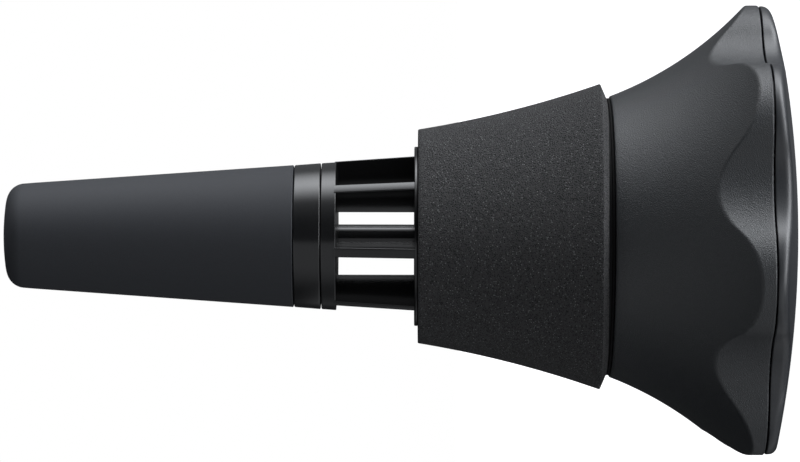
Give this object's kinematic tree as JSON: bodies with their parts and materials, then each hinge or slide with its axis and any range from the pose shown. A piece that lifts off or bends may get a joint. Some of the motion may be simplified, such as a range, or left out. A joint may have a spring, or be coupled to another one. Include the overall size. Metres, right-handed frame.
{
  "type": "trumpet practice mute",
  "caption": "Practice mute with a tapered soft nose, a vented cage, a conical foam collar and a flared rear shell with finger scoops round its rim.",
  "frame": {"origin": "centre of the flat foot in the middle of the rear cover", "axes": "+Z along the mute's axis towards the tip of the nose, +X through one ridge of the rim and one fin of the cage"},
  "size_m": [0.1116, 0.1136, 0.197],
  "materials": {
    "silicone": "matte",
    "gloss_abs": "gloss",
    "satin_abs": "satin",
    "inner_abs": "matte",
    "sponge": "open-cell foam",
    "damping_foam": "open-cell foam",
    "rubber": "matte",
    "steel": "brushed"
  },
  "bodies": {
    "mute_body": {"rear_cover": "satin_abs", "damping_pad": "damping_foam", "bell_shell": "satin_abs", "neck_seal": "rubber", "baffle_plate": "inner_abs", "baffle_grommet": "rubber", "baffle_screw_1": "steel", "baffle_screw_2": "steel", "baffle_screw_3": "steel", "baffle_screw_4": "steel", "core_cone": "inner_abs", "core_damper": "damping_foam", "cage_seal": "rubber", "vent_cage": "gloss_abs", "front_grommet": "rubber", "centre_tube": "gloss_abs"},
    "collar": {"foam_collar": "sponge"},
    "nose": {"nose_liner": "inner_abs", "nose_damper": "damping_foam", "nose_seal": "rubber"},
    "coupling": {"coupling_ring": "gloss_abs"},
    "cap": {"nose_cap": "silicone"}
  },
  "joints": [
    {"name": "nose_unscrew", "type": "slide", "parent": "mute_body", "child": "nose", "axis": [0, 0, 1], "range_m": [0, 0.003]},
    {"name": "coupling_turn", "type": "hinge", "parent": "nose", "child": "coupling", "pos_m": [0, 0, 0.118], "axis": [0, 0, 1], "range_deg": [0, 720]},
    {"name": "cap_pull", "type": "slide", "parent": "nose", "child": "cap", "axis": [0, 0, 1], "range_m": [0, 0.072]},
    {"name": "collar_pull", "type": "slide", "parent": "mute_body", "child": "collar", "axis": [0, 0, 1], "range_m": [0, 0.152]}
  ],
  "couplings": [
    {"joint": "coupling_turn", "follows": "nose_unscrew", "rad_per_m": 4188.8}
  ]
}
